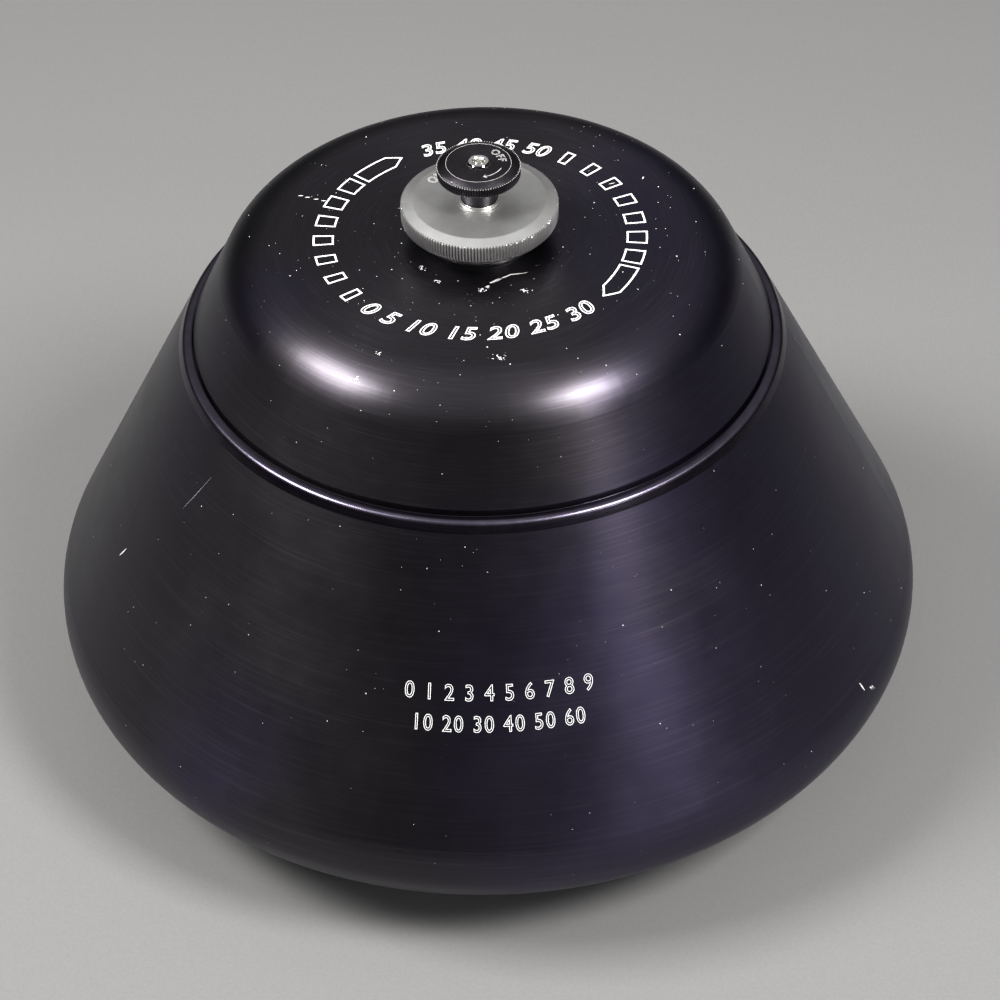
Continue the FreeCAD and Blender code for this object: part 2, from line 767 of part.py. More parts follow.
def make_stem_clip():
    """Clip that rides in the stem's groove and keeps the screw in the knob."""
    bore = dim.stem_groove_radius + dim.running_clearance
    top = dim.stem_clip_height + dim.stem_clip_thickness
    return ring("stem_clip", bore, dim.stem_clip_radius, dim.stem_clip_height, top)


def make_lock_stem():
    """Black sleeve between the small knob and the lid knob."""
    groove_bottom = dim.stem_clip_height - dim.running_clearance
    groove_top = dim.stem_clip_height + dim.stem_clip_thickness + dim.running_clearance
    return turned("lock_stem", [
        (dim.lock_screw_radius, dim.stem_bottom_height),
        (dim.stem_radius, dim.stem_bottom_height),
        (dim.stem_radius, groove_bottom),
        (dim.stem_groove_radius, groove_bottom),
        (dim.stem_groove_radius, groove_top),
        (dim.stem_radius, groove_top),
        (dim.stem_radius, dim.lock_knob_bottom_height),
        (dim.lock_screw_radius, dim.lock_knob_bottom_height),
    ])


def make_lock_knob():
    """Small black knob with a knurled edge and a bevelled top."""
    return turned("lock_knob", [
        (dim.lock_screw_radius, dim.lock_knob_bottom_height),
        (dim.lock_knob_radius, dim.lock_knob_bottom_height),
        (dim.lock_knob_radius, dim.lock_knob_edge_height),
        (dim.lock_knob_top_radius, dim.lock_knob_top_height),
        (dim.lock_screw_radius, dim.lock_knob_top_height),
    ])


def hexagon(radius):
    """The corners of a hexagon about the axis, its first corner on +X."""
    half_height = radius * math.sqrt(0.75)
    half_side = radius * 0.5
    return [
        (radius, 0), (half_side, half_height), (half_side * -1, half_height),
        (radius * -1, 0), (half_side * -1, half_height * -1), (half_side, half_height * -1),
    ]


def make_lock_screw():
    """Long steel screw: threaded tip for the spindle, plain shank, and a hexagonal end."""
    chamfer = dim.lock_screw_radius - dim.lock_screw_tip_radius
    body = turned("lock_screw", [
        (0, dim.lock_screw_tip_height),
        (dim.lock_screw_tip_radius, dim.lock_screw_tip_height),
        (dim.lock_screw_radius, dim.lock_screw_tip_height + chamfer),
        (dim.lock_screw_radius, dim.lock_screw_shoulder_height),
        (0, dim.lock_screw_shoulder_height),
    ])
    end = new_sketch(body, "XY_Plane", "hexagon")
    raise_sketch(end, dim.lock_screw_shoulder_height)
    draw_outline(end, hexagon(dim.lock_screw_hex_radius))
    extrude(body, end, dim.lock_screw_top_height - dim.lock_screw_shoulder_height, "Pad")
    centre = new_sketch(body, "XY_Plane", "centre_hole")
    raise_sketch(centre, dim.lock_screw_top_height)
    draw_circle(centre, (0, 0), dim.lock_screw_centre_radius)
    depth = dim.lock_screw_centre_depth
    cut_volume(body, lambda: extrude(body, centre, depth, "Pocket"))
    return body


def make_drive_lock_pieces():
    return [
        make_stem_clip(),
        make_lock_stem(),
        make_lock_knob(),
        make_lock_screw(),
    ]


# ---- check and write ----

def check(pieces):
    """Stop if any object failed or any piece has no valid shape."""
    for item in doc.Objects:
        if any(state in item.State for state in FAILED_STATES):
            raise RuntimeError(f"{item.Label} failed: {item.State}")
    for piece in pieces:
        if piece.Shape.isNull() or not piece.Shape.isValid() or not piece.Shape.Solids:
            raise RuntimeError(f"{piece.Label} has no valid solid")


def export(pieces):
    """Write each piece to its own STEP file and print its volume in cubic centimetres."""
    os.makedirs("parts", exist_ok=True)
    for piece in pieces:
        piece.Shape.exportStep(f"parts/{piece.Label}.step")
        solids = len(piece.Shape.Solids)
        print(f"{piece.Label}: {solids} solid(s), {piece.Shape.Volume / 1000:.2f} cm3")


pieces = make_rotor_pieces() + make_lid_pieces() + make_lid_knob_pieces() + make_drive_lock_pieces()
doc.recompute()
check(pieces)
export(pieces)
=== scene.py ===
"""Looks for a fixed-angle centrifuge rotor with a screwed lid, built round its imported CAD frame.

Metres, +Z up, and the rotor turns about Z. Small dimensions are written in millimetres, and
every mesh made here is scaled by MM as it is built. Angles round the rotor are in degrees,
anticlockwise from +X as seen from above; the camera stands at -90.
"""
import math
import random

import bmesh
import bpy
from mathutils import Matrix, Vector


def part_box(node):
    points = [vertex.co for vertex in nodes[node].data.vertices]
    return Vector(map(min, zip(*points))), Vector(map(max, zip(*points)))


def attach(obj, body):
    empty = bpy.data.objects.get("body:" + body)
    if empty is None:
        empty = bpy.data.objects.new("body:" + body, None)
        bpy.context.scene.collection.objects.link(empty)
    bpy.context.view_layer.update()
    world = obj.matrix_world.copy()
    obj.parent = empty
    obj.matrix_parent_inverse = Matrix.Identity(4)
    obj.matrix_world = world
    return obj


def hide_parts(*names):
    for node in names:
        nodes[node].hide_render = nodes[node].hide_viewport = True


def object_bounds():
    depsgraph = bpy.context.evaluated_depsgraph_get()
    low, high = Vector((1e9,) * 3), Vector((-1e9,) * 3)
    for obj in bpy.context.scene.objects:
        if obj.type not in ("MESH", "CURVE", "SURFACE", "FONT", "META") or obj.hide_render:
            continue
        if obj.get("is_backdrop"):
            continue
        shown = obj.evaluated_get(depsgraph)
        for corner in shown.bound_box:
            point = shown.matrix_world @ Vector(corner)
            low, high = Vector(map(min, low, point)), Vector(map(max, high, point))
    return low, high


MM = 0.001
TURN = 2 * math.pi
FRONT, BACK = -90, 90

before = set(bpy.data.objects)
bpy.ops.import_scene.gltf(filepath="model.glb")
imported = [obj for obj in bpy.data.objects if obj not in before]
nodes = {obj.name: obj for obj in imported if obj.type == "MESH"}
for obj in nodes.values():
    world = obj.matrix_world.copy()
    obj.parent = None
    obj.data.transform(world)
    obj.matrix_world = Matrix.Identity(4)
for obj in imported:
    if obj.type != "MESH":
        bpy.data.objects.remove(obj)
cad_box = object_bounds()
chance = random.Random(7)


# ---- sizes, in millimetres ----

def reach(node):
    """Largest radius of a turned CAD node."""
    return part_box(node)[1].x / MM


def bottom(node):
    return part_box(node)[0].z / MM


def top(node):
    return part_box(node)[1].z / MM


LID_TOP = top("lid_shell")
LID_SHOULDER_RADIUS, LID_SHOULDER_ROUND = 83.0, 21.9
LID_EDGE_RADIUS, LID_EDGE_HEIGHT = reach("lid_shell"), 158.7

RIM_RADIUS, RIM_HEIGHT, RIM_ROUND = 103.5, 156.85, 2.2
SEAT_RADIUS = 100.5
CORNER_RADIUS, CORNER_HEIGHT, CORNER_ROUND = 164.7, 35.1, 22.8
BASE_RADIUS = 95.0

SLEEVE_RADIUS = 12.0
GRIP_RADIUS = reach("lid_knob")
GRIP_BOTTOM, GRIP_TOP = bottom("lid_knob"), top("lid_knob")
GRIP_HUB_RADIUS, GRIP_DISC_HEIGHT, GRIP_COLLAR_RADIUS = 16.0, 201.0, 24.8
GRIP_KNURL_BOTTOM, GRIP_KNURL_TOP, GRIP_BEVEL_RADIUS = 203.1, 208.2, 22.5
GRIP_DISH_HEIGHT, GRIP_POCKET_RADIUS, GRIP_POCKET_BOTTOM = 208.7, 8.3, 204.0
GRIP_TEETH, GRIP_KNURL_DEPTH = 156, 0.75

RING_RADIUS = reach("gland_ring")
RING_BOTTOM, RING_TOP = bottom("gland_ring"), top("gland_ring")
STEM_RADIUS = reach("lock_stem")

LOCK_RADIUS = reach("lock_knob")
LOCK_BOTTOM, LOCK_TOP = bottom("lock_knob"), top("lock_knob")
LOCK_EDGE_HEIGHT, LOCK_BEVEL_RADIUS = 222.9, 10.9
LOCK_TEETH, LOCK_KNURL_DEPTH = 100, 0.36

SCREW_RADIUS = reach("lock_screw")
SCREW_BOTTOM, SCREW_TOP = bottom("lock_screw"), top("lock_screw")
SCREW_SHOULDER, SCREW_HEX_RADIUS = 223.0, 3.7
SCREW_HOLE_RADIUS, SCREW_HOLE_DEPTH = 1.9, 4.0
SCREW_PITCH, SCREW_THREAD_LENGTH = 1.25, 24.0

STUD_RADIUS, STUD_PITCH = 8.0, 1.5
STUD_BOTTOM, STUD_TOP = bottom("lid_stud"), top("lid_stud")


# ---- sections and turned meshes ----

def rounded(outline, steps=5):
    """The outline's (radius, height) points, with an arc at each point that gives a third number."""
    points = []
    for index, corner in enumerate(outline):
        here = Vector(corner[:2])
        if len(corner) < 3:
            points.append(here)
            continue
        before = (Vector(outline[index - 1][:2]) - here).normalized()
        after = (Vector(outline[(index + 1) % len(outline)][:2]) - here).normalized()
        half = before.angle(after) / 2
        centre = here + (before + after).normalized() * corner[2] / math.sin(half)
        start = here + before * corner[2] / math.tan(half) - centre
        end = here + after * corner[2] / math.tan(half) - centre
        arc = [start.slerp(end, step / steps) for step in range(steps + 1)]
        points += [centre + direction * corner[2] for direction in arc]
    return points


def mesh_object(name, verts, faces, body, material, sharp=35):
    """A piece made from points in millimetres, smooth except at edges sharper than an angle."""
    mesh = bpy.data.meshes.new(name)
    mesh.from_pydata([Vector(v) * MM for v in verts], [], faces)
    tidy = bmesh.new()
    tidy.from_mesh(mesh)
    bmesh.ops.remove_doubles(tidy, verts=tidy.verts, dist=1e-7)
    bmesh.ops.dissolve_degenerate(tidy, edges=tidy.edges, dist=1e-8)
    tidy.to_mesh(mesh)
    tidy.free()
    mesh.shade_smooth()
    mesh.set_sharp_from_angle(angle=math.radians(sharp))
    piece = bpy.data.objects.new(name, mesh)
    bpy.context.scene.collection.objects.link(piece)
    piece.data.materials.append(material)
    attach(piece, body)
    return piece


def turned(name, section, columns, body, material, sharp=35):
    """A closed section turned about Z. section(angle) gives its points, anticlockwise."""
    verts = []
    for column in range(columns):
        angle = TURN * column / columns
        across, along = math.cos(angle), math.sin(angle)
        verts += [(r * across, r * along, z) for r, z in section(angle)]
    rows = len(verts) // columns
    faces = []
    for column in range(columns):
        here, beside = column * rows, (column + 1) % columns * rows
        for row in range(rows):
            above = (row + 1) % rows
            faces.append((here + row, beside + row, beside + above, here + above))
    return mesh_object(name, verts, faces, body, material, sharp)


def knurl(angle, radius, teeth, depth):
    """Radius of a straight knurl at an angle: ridges with grooves about as wide between them."""
    return radius - depth * (0.5 + 0.5 * math.cos(teeth * angle))


def thread(angle, height, radius, pitch, depth):
    """Radius of a single-start thread at an angle and height."""
    share = (height / pitch - angle / TURN) % 1
    return radius - depth * min(1, max(0, 1.25 - abs(4 * share - 2)))


# ---- materials ----

class Paint:
    """A node material: short calls that add nodes, and sockets set on its shader."""

    def __init__(self, name, **sockets):
        self.material = bpy.data.materials.new(name)
        self.material.use_nodes = True
        self.tree = self.material.node_tree
        self.shader = self.tree.nodes["Principled BSDF"]
        self.feed(self.shader, {key.replace("_", " "): value for key, value in sockets.items()})
        self.place = self.node("ShaderNodeTexCoord").outputs["Object"]

    def feed(self, node, inputs):
        for key, value in inputs.items():
            if isinstance(value, bpy.types.NodeSocket):
                self.tree.links.new(value, node.inputs[key])
            else:
                node.inputs[key].default_value = value

    def node(self, kind, inputs=None, **settings):
        made = self.tree.nodes.new(kind)
        for key, value in settings.items():
            setattr(made, key, value)
        self.feed(made, inputs or {})
        return made

    def math(self, operation, first, second=0.0):
        made = self.node("ShaderNodeMath", {0: first, 1: second}, operation=operation)
        return made.outputs[0]

    def noise(self, vector, scale, detail=3.0, roughness=0.5):
        inputs = {"Vector": vector, "Scale": scale, "Detail": detail, "Roughness": roughness}
        return self.node("ShaderNodeTexNoise", inputs).outputs["Fac"]

    def stretch(self, value, low, high, new_low=0.0, new_high=1.0):
        """A value's range moved to a new one, held at its ends."""
        inputs = {0: value, 1: low, 2: high, 3: new_low, 4: new_high}
        return self.node("ShaderNodeMapRange", inputs).outputs[0]

    def blend(self, factor, first, second):
        made = self.node("ShaderNodeMix", {0: factor, 6: first, 7: second}, data_type="RGBA")
        return made.outputs[2]

    def bump(self, height, distance, strength=1.0):
        inputs = {"Height": height, "Distance": distance, "Strength": strength}
        normal = self.node("ShaderNodeBump", inputs).outputs["Normal"]
        self.feed(self.shader, {"Normal": normal})

    def lathe(self, fineness, round_scale):
        """Coordinates that change fast across a lathe's tool marks and slowly along them."""
        split = self.node("ShaderNodeSeparateXYZ", {0: self.place}).outputs
        flat = self.node("ShaderNodeCombineXYZ", {0: split[0], 1: split[1]}).outputs[0]
        away = self.node("ShaderNodeVectorMath", {0: flat}, operation="NORMALIZE").outputs[0]
        ends = self.node("ShaderNodeSeparateXYZ", {0: away}).outputs
        length = self.node("ShaderNodeVectorMath", {0: flat}, operation="LENGTH").outputs["Value"]
        across = self.math("SUBTRACT", self.math("MULTIPLY", split[2], 0.8), length)
        inputs = {
            0: self.math("MULTIPLY", ends[0], round_scale),
            1: self.math("MULTIPLY", ends[1], round_scale),
            2: self.math("MULTIPLY", across, fineness),
        }
        return self.node("ShaderNodeCombineXYZ", inputs).outputs[0]

    def specks(self, scale, size, share):
        """1 at small scattered specks, 0 elsewhere: the middles of a share of Voronoi cells."""
        wobble = self.node("ShaderNodeTexNoise", {"Vector": self.place, "Scale": scale * 4})
        inputs = {0: wobble.outputs["Color"], 1: (0.0006, 0.0006, 0.0006), 2: self.place}
        moved = self.node("ShaderNodeVectorMath", inputs, operation="MULTIPLY_ADD").outputs[0]
        cells = self.node("ShaderNodeTexVoronoi", {"Vector": moved, "Scale": scale}).outputs
        near = self.math("LESS_THAN", cells["Distance"], size)
        picked = self.math("LESS_THAN", cells["Color"], share)
        return self.math("MULTIPLY", near, picked)


def shade(red, green, blue):
    return (red, green, blue, 1.0)


def black_anodised(name, roughness=0.33, coat=0.12):
    """Hard-anodised aluminium dyed black, with fine turning lines and a violet cast; the violet is
    partly random tone and partly painted sheen that gets stronger towards +X.
    """
    paint = Paint(name, Metallic=1.0, Anisotropic=0.62, Anisotropic_Rotation=0.25,
                  Specular_Tint=shade(0.8, 0.8, 0.82),
                  Coat_Weight=coat, Coat_Roughness=0.25, Coat_IOR=1.5)
    lines = paint.noise(paint.lathe(1300.0, 3.0), 1.0, 4.0, 0.65)
    cloud = paint.noise(paint.place, 7.0, 2.0)
    smudge = paint.noise(paint.place, 38.0, 4.0, 0.6)
    # Painted sheen: the violet tint grows towards +X, one side of the rotor, in place of violet
    # reflections there; the cloud noise adds random tone.
    side = paint.math("MULTIPLY", paint.node("ShaderNodeSeparateXYZ", {0: paint.place}).outputs[0], 0.8)
    dye_and_painted_sheen = paint.stretch(paint.math("ADD", cloud, side), 0.39, 0.55)
    tint = paint.blend(dye_and_painted_sheen, shade(0.037, 0.033, 0.038), shade(0.040, 0.034, 0.060))
    lined = paint.blend(paint.stretch(lines, 0.5, 0.8, 0.0, 0.5), tint, shade(0.08, 0.073, 0.09))
    dust = paint.specks(210.0, 0.045, 0.15)
    paint.feed(paint.shader, {
        "Base Color": paint.blend(dust, lined, shade(0.4, 0.39, 0.38)),
        "Roughness": paint.stretch(smudge, 0.3, 0.7, roughness - 0.03, roughness + 0.03),
    })
    paint.bump(lines, 0.00002, 0.25)
    return paint.material


def grey_anodised():
    """Bead-blasted aluminium, clear anodised: matt, finely pitted and a little grubby."""
    paint = Paint("grey_anodised", Metallic=0.85)
    grain = paint.noise(paint.place, 5200.0, 3.0, 0.6)
    cloud = paint.noise(paint.place, 120.0, 4.0, 0.6)
    grime = paint.stretch(cloud, 0.35, 0.7)
    colour = paint.blend(grime, shade(0.37, 0.37, 0.36), shade(0.32, 0.31, 0.30))
    nick = paint.specks(520.0, 0.06, 0.08)
    paint.feed(paint.shader, {
        "Base Color": paint.blend(nick, colour, shade(0.85, 0.85, 0.84)),
        "Roughness": paint.stretch(grain, 0.3, 0.7, 0.36, 0.48),
    })
    paint.bump(grain, 0.00002, 0.5)
    return paint.material


def turned_metal(name, colour, roughness, dull=0.7):
    """Bare turned metal: fine rings, uneven brightness, slight tarnish."""
    paint = Paint(name, Metallic=1.0, Anisotropic=0.4)
    rings = paint.noise(paint.lathe(5200.0, 3.0), 1.0, 2.0)
    tarnish = paint.noise(paint.place, 160.0, 4.0, 0.6)
    darker = shade(*(channel * dull for channel in colour))
    paint.feed(paint.shader, {
        "Base Color": paint.blend(paint.stretch(tarnish, 0.35, 0.75), shade(*colour), darker),
        "Roughness": paint.stretch(rings, 0.3, 0.7, roughness * 0.8, roughness * 1.25),
    })
    paint.bump(rings, 0.00001, 0.4)
    return paint.material


def matt(name, colour, other, roughness, scale, relief):
    """A non-metal with a mottled colour and a fine grain: rubber, plastic, paint."""
    paint = Paint(name)
    mottle = paint.noise(paint.place, scale, 4.0, 0.6)
    grain = paint.noise(paint.place, scale * 12, 2.0)
    paint.feed(paint.shader, {
        "Base Color": paint.blend(paint.stretch(mottle, 0.35, 0.65), shade(*colour), shade(*other)),
        "Roughness": paint.stretch(grain, 0.3, 0.7, roughness - 0.08, roughness + 0.08),
    })
    paint.bump(grain, relief)
    return paint.material


def marked_ring():
    """Matt black disc with alternating light sectors for the speed sensor."""
    paint = Paint("marked_ring", Roughness=0.6)
    split = paint.node("ShaderNodeSeparateXYZ", {0: paint.place}).outputs
    angle = paint.math("ARCTAN2", split[1], split[0])
    wave = paint.math("SINE", paint.math("MULTIPLY", angle, 16.0))
    scuff = paint.noise(paint.place, 300.0, 4.0)
    light = paint.blend(scuff, shade(0.62, 0.62, 0.6), shade(0.5, 0.5, 0.49))
    dark = paint.blend(scuff, shade(0.02, 0.02, 0.02), shade(0.04, 0.04, 0.04))
    picked = paint.math("GREATER_THAN", wave, 0.0)
    paint.feed(paint.shader, {"Base Color": paint.blend(picked, dark, light)})
    paint.bump(scuff, 0.00002)
    return paint.material


SLOTS = {
    "black_anodised": black_anodised("black_anodised"),
    "black_anodised_small": black_anodised("black_anodised_small", 0.28, 0.2),
    "grey_anodised": grey_anodised(),
    "steel": turned_metal("steel", (0.52, 0.52, 0.51), 0.3),
    "bright_steel": turned_metal("bright_steel", (0.8, 0.79, 0.76), 0.22, 0.85),
    "black_steel": turned_metal("black_steel", (0.05, 0.05, 0.05), 0.42),
    "bronze": turned_metal("bronze", (0.52, 0.34, 0.16), 0.32),
    "rubber": matt("rubber", (0.018, 0.018, 0.018), (0.03, 0.03, 0.03), 0.6, 180.0, 0.00002),
    "washer_plastic": matt("washer_plastic", (0.74, 0.73, 0.68), (0.68, 0.66, 0.6), 0.45, 150.0,
                           0.00001),
    "marked_ring": marked_ring(),
}
WHITE_FILL = matt("white_fill", (0.82, 0.82, 0.8), (0.66, 0.66, 0.65), 0.6, 900.0, 0.00001)
WORN_BLACK = turned_metal("worn_black", (0.075, 0.066, 0.09), 0.24)
BARE_METAL = matt("bare_metal", (0.72, 0.71, 0.69), (0.5, 0.49, 0.47), 0.45, 1500.0, 0.00001)


def dress_cad_nodes():
    """Give every CAD node the node material of its slot."""
    for node in nodes.values():
        for index, old in enumerate(node.data.materials):
            node.data.materials[index] = SLOTS[old.name]


# ---- thin marks laid on a turned surface ----

class Surface:
    """A surface turned about Z, unrolled: a place is an angle and a distance along the section."""

    def __init__(self, points):
        self.points = points
        self.ends = [0.0]
        for before, after in zip(points, points[1:]):
            self.ends.append(self.ends[-1] + (after - before).length)

    def at(self, distance):
        """Section point at a distance from the section's start, and the direction out of it."""
        index = 0
        while index < len(self.points) - 2 and self.ends[index + 1] < distance:
            index += 1
        along = (self.points[index + 1] - self.points[index]).normalized()
        here = self.points[index] + along * (distance - self.ends[index])
        return here, Vector((-along.y, along.x))

    def spot(self, degrees, distance, turn=0):
        """A flat patch pinned to the surface: (right, up, out) in mm to a point in space."""
        start = math.radians(degrees)
        radius = self.at(distance)[0].x
        across, along = math.cos(math.radians(turn)), math.sin(math.radians(turn))

        def place(right, up, out):
            side, rise = right * across - up * along, right * along + up * across
            (r, z), normal = self.at(distance - rise)
            angle = start + side / radius
            r, z = r + normal.x * out, z + normal.y * out
            return Vector((r * math.cos(angle), r * math.sin(angle), z))

        return place


class Marks:
    """Thin flat shapes, half sunk in a surface, gathered into one mesh."""

    def __init__(self, lift=0.03):
        self.lift = lift
        self.verts = []
        self.faces = []

    def ribbon(self, place, points, width, closed=False):
        """A line of some width through flat points, with mitred corners."""
        points = [Vector(p) for p in points]
        first, count = len(self.verts), len(points)
        for index, here in enumerate(points):
            before = points[index - 1] if closed or index else here
            after = points[(index + 1) % count] if closed or index < count - 1 else here
            into = (here - before).normalized() if here != before else (after - here).normalized()
            out_of = (after - here).normalized() if here != after else into
            mitre = Vector((-into.y - out_of.y, into.x + out_of.x))
            mitre = mitre.normalized() if mitre.length > 1e-6 else Vector((-into.y, into.x))
            lean = max(0.4, abs(mitre.dot(Vector((-into.y, into.x)))))
            wide = width(index / max(1, count - 1)) if callable(width) else width
            side = mitre * wide / 2 / lean
            for edge, out in ((here + side, 1), (here - side, 1), (here - side, -1), (here + side, -1)):
                self.verts.append(place(edge.x, edge.y, out * self.lift))
        for index in range(count if closed else count - 1):
            here, beside = first + 4 * index, first + 4 * ((index + 1) % count)
            for side in range(4):
                beyond = (side + 1) % 4
                self.faces.append((here + side, here + beyond, beside + beyond, beside + side))
        if not closed:
            self.faces.append(tuple(first + side for side in (3, 2, 1, 0)))
            self.faces.append(tuple(first + 4 * (count - 1) + side for side in range(4)))

    def patch(self, place, outline):
        """A filled flat shape with a convex outline."""
        first, count = len(self.verts), len(outline)
        for out in (1, -1):
            self.verts += [place(x, y, out * self.lift) for x, y in outline]
        self.faces.append(tuple(range(first, first + count)))
        self.faces.append(tuple(reversed(range(first + count, first + 2 * count))))
        for index in range(count):
            beyond = (index + 1) % count
            self.faces.append((first + index, first + count + index,
                               first + count + beyond, first + beyond))

    def build(self, name, body, material):
        return mesh_object(name, self.verts, self.faces, body, material, sharp=30)


def dense(points, step=1.0, closed=False):
    """The same path with extra points, so that it can follow a curved surface."""
    path = []
    pairs = list(zip(points, points[1:])) + ([(points[-1], points[0])] if closed else [])
    for start, end in pairs:
        start, end = Vector(start), Vector(end)
        count = max(1, round((end - start).length / step))
        path += [start.lerp(end, index / count) for index in range(count)]
    return path if closed else path + [Vector(points[-1])]


def lettering(text, height, width, slant=0.0, spacing=1.0):
    """Closed outlines of a line of plain text, centred and scaled to a height and a width."""
    curve = bpy.data.curves.new("lettering", "FONT")
    curve.body, curve.shear, curve.space_character = text, slant, spacing
    curve.fill_mode, curve.resolution_u = "NONE", 5
    helper = bpy.data.objects.new("lettering", curve)
    bpy.context.scene.collection.objects.link(helper)
    bpy.context.view_layer.update()
    mesh = bpy.data.meshes.new_from_object(helper)
    bpy.data.objects.remove(helper)
    beside = {}
    for edge in mesh.edges:
        a, b = edge.vertices
        beside.setdefault(a, []).append(b)
        beside.setdefault(b, []).append(a)
    places = [Vector(v.co[:2]) for v in mesh.vertices]
    loops, seen = [], set()
    for start in range(len(places)):
        loop, here = [], start
        while here is not None and here not in seen:
            seen.add(here)
            loop.append(places[here])
            here = next((n for n in beside.get(here, []) if n not in seen), None)
        if len(loop) > 2:
            loops.append(loop)
    low = min(p.y for loop in loops for p in loop)
    rise = height / (max(p.y for loop in loops for p in loop) - low)
    left, right = (end(p.x for loop in loops for p in loop) for end in (min, max))
    middle, stretch = (left + right) / 2, width / (right - left)
    return [[Vector(((p.x - middle) * stretch, (p.y - low) * rise - height / 2))
             for p in loop] for loop in loops]


def write(marks, place, text, size, stroke, **form):
    """Outlined text on a surface; its size is a height and a width."""
    for loop in lettering(text, *size, **form):
        marks.ribbon(place, loop, stroke, closed=True)


LID_SURFACE = Surface(rounded([
    (0, LID_TOP),
    (LID_SHOULDER_RADIUS, LID_TOP, LID_SHOULDER_ROUND),
    (LID_EDGE_RADIUS, LID_EDGE_HEIGHT),
], 24))
BODY_SURFACE = Surface(rounded([
    (RIM_RADIUS, RIM_HEIGHT),
    (CORNER_RADIUS, CORNER_HEIGHT, CORNER_ROUND),
    (BASE_RADIUS, 0),
], 24))

TRAIL_INNER, TRAIL_OUTER = 49.9, 56.4
TRAIL_MIDDLE = (TRAIL_INNER + TRAIL_OUTER) / 2
TRAIL_STEP = 11.6
TRAIL_BOXES = 7
STROKE = 0.62


def band_shape(marks, corners):
    """A closed outline on the lid's flat top, from (degrees, radius) corners."""
    place = LID_SURFACE.spot(0, TRAIL_MIDDLE)
    flat = [Vector((math.radians(a) * TRAIL_MIDDLE, TRAIL_MIDDLE - r)) for a, r in corners]
    marks.ribbon(place, dense(flat, 1.5, closed=True), STROKE, closed=True)


def trail(marks, start):
    """Boxes that lengthen clockwise towards an arrow, which shows which way the knob tightens."""
    for index in range(TRAIL_BOXES):
        middle = start - TRAIL_STEP * index
        half = (1.7 + 0.42 * index) / 2 * 180 / math.pi / TRAIL_MIDDLE * 1.6
        band_shape(marks, [(middle + half, TRAIL_INNER), (middle + half, TRAIL_OUTER),
                           (middle - half, TRAIL_OUTER), (middle - half, TRAIL_INNER)])
    tail = start - TRAIL_STEP * TRAIL_BOXES + 5.3
    shoulder, tip = tail - 14.6, tail - 19.5
    band_shape(marks, [(tail, TRAIL_INNER), (tail, TRAIL_OUTER), (shoulder, TRAIL_OUTER),
                       (tip, TRAIL_MIDDLE), (shoulder, TRAIL_INNER)])


def lid_marks():
    marks = Marks()
    trail(marks, -144.3)
    trail(marks, 54.6)
    form = {"slant": 0.2, "spacing": 1.08}
    front = LID_SURFACE.spot(-91.5, TRAIL_MIDDLE)
    write(marks, front, "0 5 10 15 20 25 30", (6.5, 82), 0.38, **form)
    back = LID_SURFACE.spot(87, TRAIL_MIDDLE, 180)
    write(marks, back, "35 40 45 50", (6.5, 46), 0.38, **form)
    marks.build("lid_marks", "lid", WHITE_FILL)


def body_marks():
    marks = Marks()
    upper, lower = BODY_SURFACE.spot(-88.8, 57.8), BODY_SURFACE.spot(-88.8, 68.6)
    write(marks, upper, "0 1 2 3 4 5 6 7 8 9", (5.6, 62), 0.2, spacing=1.2)
    write(marks, lower, "10 20 30 40 50 60", (5.6, 56), 0.2, spacing=1.2)
    marks.build("body_marks", "rotor", WHITE_FILL)


# ---- wear ----

def flake(size):
    """A small irregular outline."""
    count = chance.randint(5, 7)
    start = chance.uniform(0, TURN)
    stretch = chance.uniform(0.5, 1.0)
    points = []
    for index in range(count):
        angle = start + TURN * index / count
        radius = size / 2 * chance.uniform(0.75, 1.1)
        points.append((radius * math.cos(angle), radius * stretch * math.sin(angle)))
    return points


def scatter(marks, surface, count, distances, sizes, angles=(-180, 180)):
    for _ in range(count):
        place = surface.spot(chance.uniform(*angles), chance.uniform(*distances))
        marks.patch(place, flake(sizes[0] + (sizes[1] - sizes[0]) * chance.random() ** 3))


def scratch(marks, surface, places, width):
    """A scratch through (degrees, distance) places, thin at its ends and a little unsteady."""
    degrees, distance = places[0]
    radius = surface.at(distance)[0].x
    flat = [(math.radians(a - degrees) * radius, distance - d) for a, d in places]
    path = [p + Vector((chance.uniform(-1, 1), chance.uniform(-1, 1))) * 0.05
            for p in dense(flat, 0.8)]
    marks.ribbon(surface.spot(degrees, distance), path,
                 lambda share: width * (0.25 + 0.75 * math.sin(math.pi * share)))


def lid_wear():
    marks = Marks(lift=0.015)
    scatter(marks, LID_SURFACE, 300, (25, 80), (0.14, 0.6))
    scatter(marks, LID_SURFACE, 110, (80, 112), (0.14, 0.5))
    scratch(marks, LID_SURFACE, [(-83, 26.4), (-74, 24.9), (-66, 24.2), (-54, 26.2)], 0.5)
    scratch(marks, LID_SURFACE, [(-84, 26.6), (-79, 25.7), (-73, 24.9)], 0.9)
    for degrees, distance, size in ((-85.5, 65.6, 2.6), (-90, 30.2, 2.2), (-85.5, 28.6, 1.4),
                                    (-65.4, 33.8, 2.0), (-120.3, 28.6, 2.0), (-138.6, 26.3, 2.2),
                                    (-118.4, 70.5, 1.6), (-120.3, 82.3, 1.6)):
        scuff(marks, LID_SURFACE, degrees, distance, size)
    for start in (57.0, 59.8, 63.0, 65.6):
        scratch(marks, LID_SURFACE, [(157.6, start), (158.2, start + 1.6)], 0.5)
    scratch(marks, LID_SURFACE, [(28.0, 64.0), (28.8, 65.2)], 0.5)
    scratch(marks, LID_SURFACE, [(31.5, 52.6), (31.0, 54.8)], 0.3)
    scratch(marks, LID_SURFACE, [(-31.4, 60.2), (-31.6, 61.0)], 0.5)
    marks.build("lid_wear", "lid", BARE_METAL)


